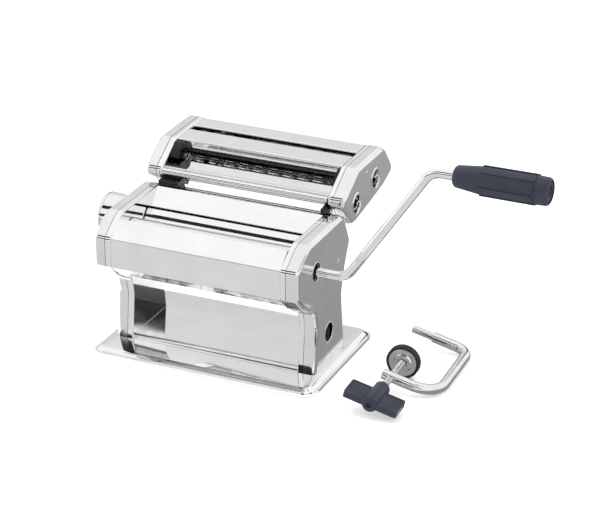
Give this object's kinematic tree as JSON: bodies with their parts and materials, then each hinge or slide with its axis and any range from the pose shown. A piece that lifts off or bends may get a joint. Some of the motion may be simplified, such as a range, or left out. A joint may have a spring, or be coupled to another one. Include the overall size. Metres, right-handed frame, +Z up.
{
  "type": "pasta roller machine",
  "caption": "Hand-cranked countertop dough-sheet roller with thickness knob, lift-off ribbon cutter attachment, removable crank and screw table clamp.",
  "frame": {"origin": "on the table plane under the centre of the base plate", "axes": "+X along the rollers towards the crank side, +Y towards the back where the cutter attachment hangs, +Z up"},
  "size_m": [0.4062, 0.207, 0.2166],
  "materials": {
    "polished_steel": "mirror polished",
    "brushed_steel": "brushed",
    "roller_steel": "polished",
    "knob_insert": "satin",
    "zinc_steel": "bright zinc plated",
    "slate_plastic": "satin",
    "cap_plastic": "satin",
    "black_plastic": "satin",
    "bearing_bronze": "turned",
    "nylon": "satin",
    "rubber": "matte"
  },
  "bodies": {
    "frame": {"base_plate": "polished_steel", "rubber_feet": "rubber", "cross_plate": "polished_steel", "inner_casing_left": "polished_steel", "inner_casing_right": "polished_steel", "outer_cover_left": "polished_steel", "outer_cover_right": "polished_steel", "side_plate_left": "brushed_steel", "side_plate_right": "brushed_steel", "tie_rods": "polished_steel", "tie_rod_nuts": "brushed_steel", "front_cover": "polished_steel", "hopper_cover": "polished_steel", "front_roller_bushes": "nylon", "shaft_bush": "nylon", "gear_bracket": "brushed_steel", "scraper_front": "nylon", "scraper_rear": "nylon", "cover_rivets": "polished_steel", "base_screws": "brushed_steel"},
    "front_roller": {"front_roller": "roller_steel", "front_gear": "brushed_steel"},
    "thickness_shaft": {"eccentric_shaft": "brushed_steel", "knob_screw": "brushed_steel", "knob_spring": "brushed_steel"},
    "thickness_knob": {"thickness_knob": "polished_steel", "knob_cap": "knob_insert", "index_pin": "brushed_steel"},
    "rear_sleeve": {"rear_roller_sleeve": "bearing_bronze"},
    "rear_roller": {"rear_roller": "roller_steel", "rear_gear": "brushed_steel"},
    "crank": {"crank_rod": "polished_steel"},
    "crank_grip": {"crank_grip": "slate_plastic", "grip_cap": "cap_plastic"},
    "cutter": {"cutter_casing_left": "polished_steel", "cutter_casing_right": "polished_steel", "cutter_cover_left": "polished_steel", "cutter_cover_right": "polished_steel", "cutter_rear_plate": "polished_steel", "cutter_middle_cover": "polished_steel", "cutter_front_plate": "polished_steel", "cutter_front_bar": "polished_steel", "cutter_bushes": "nylon", "cutter_rivets": "polished_steel", "cutter_end_blocks": "black_plastic", "wide_comb": "nylon", "fine_comb": "nylon"},
    "wide_drive": {"wide_drive_cutter": "roller_steel", "wide_drive_gear": "brushed_steel"},
    "wide_driven": {"wide_driven_cutter": "roller_steel", "wide_driven_gear": "brushed_steel"},
    "fine_drive": {"fine_drive_cutter": "roller_steel", "fine_drive_gear": "brushed_steel"},
    "fine_driven": {"fine_driven_cutter": "roller_steel", "fine_driven_gear": "brushed_steel"},
    "clamp": {"clamp_bar": "zinc_steel"},
    "clamp_screw": {"clamp_screw": "zinc_steel", "clamp_wing": "slate_plastic"},
    "clamp_pad": {"clamp_pad_disc": "zinc_steel", "clamp_pad_rubber": "rubber"}
  },
  "joints": [
    {"name": "front_roller_spin", "type": "hinge", "parent": "frame", "child": "front_roller", "pos_m": [0, -0.0355, 0.1], "axis": [1, 0, 0], "continuous": true},
    {"name": "thickness_turn", "type": "hinge", "parent": "frame", "child": "thickness_shaft", "pos_m": [0, 0.0001, 0.1], "axis": [-1, 0, 0], "range_deg": [0, 180]},
    {"name": "rear_sleeve_turn", "type": "hinge", "parent": "thickness_shaft", "child": "rear_sleeve", "pos_m": [0, 0.0014, 0.1], "axis": [-1, 0, 0], "range_deg": [-180.5, 0.5]},
    {"name": "rear_roller_spin", "type": "hinge", "parent": "rear_sleeve", "child": "rear_roller", "pos_m": [0, 0.0014, 0.1], "axis": [1, 0, 0], "continuous": true},
    {"name": "knob_pull", "type": "slide", "parent": "thickness_shaft", "child": "thickness_knob", "axis": [-1, 0, 0], "range_m": [0, 0.004], "stiffness_N_per_m": 800, "springref_m": -0.003},
    {"name": "crank_pull", "type": "slide", "parent": "front_roller", "child": "crank", "axis": [1, 0, 0], "range_m": [0, 0.034]},
    {"name": "grip_spin", "type": "hinge", "parent": "crank", "child": "crank_grip", "pos_m": [0, -0.0355, 0.2043], "axis": [1, 0, 0], "continuous": true},
    {"name": "cutter_lift", "type": "slide", "parent": "frame", "child": "cutter", "axis": [0, 0, 1], "range_m": [0, 0.06]},
    {"name": "wide_drive_spin", "type": "hinge", "parent": "cutter", "child": "wide_drive", "pos_m": [0, 0.0475, 0.1272], "axis": [1, 0, 0], "continuous": true},
    {"name": "wide_driven_spin", "type": "hinge", "parent": "cutter", "child": "wide_driven", "pos_m": [0, 0.06083, 0.13209], "axis": [1, 0, 0], "continuous": true},
    {"name": "fine_drive_spin", "type": "hinge", "parent": "cutter", "child": "fine_drive", "pos_m": [0, 0.088, 0.1345], "axis": [1, 0, 0], "continuous": true},
    {"name": "fine_driven_spin", "type": "hinge", "parent": "cutter", "child": "fine_driven", "pos_m": [0, 0.07491, 0.13886], "axis": [1, 0, 0], "continuous": true},
    {"name": "clamp_lift", "type": "slide", "parent": "frame", "child": "clamp", "axis": [0, 0, 1], "range_m": [0, 0.05]},
    {"name": "clamp_pad_slide", "type": "slide", "parent": "clamp", "child": "clamp_pad", "axis": [-0.0437, 0.999, 0], "range_m": [-0.0195, 0.015]},
    {"name": "clamp_screw_turn", "type": "hinge", "parent": "clamp_pad", "child": "clamp_screw", "pos_m": [0.1552, -0.0268, 0.01432], "axis": [-0.0437, 0.999, 0], "range_deg": [-4681, 3601]}
  ],
  "couplings": [
    {"joint": "rear_sleeve_turn", "follows": "thickness_turn", "ratio": -1},
    {"joint": "rear_roller_spin", "follows": "front_roller_spin", "ratio": -1},
    {"joint": "wide_driven_spin", "follows": "wide_drive_spin", "ratio": -1},
    {"joint": "fine_driven_spin", "follows": "fine_drive_spin", "ratio": -1},
    {"joint": "clamp_screw_turn", "follows": "clamp_pad_slide", "rad_per_m": 4188.8}
  ]
}
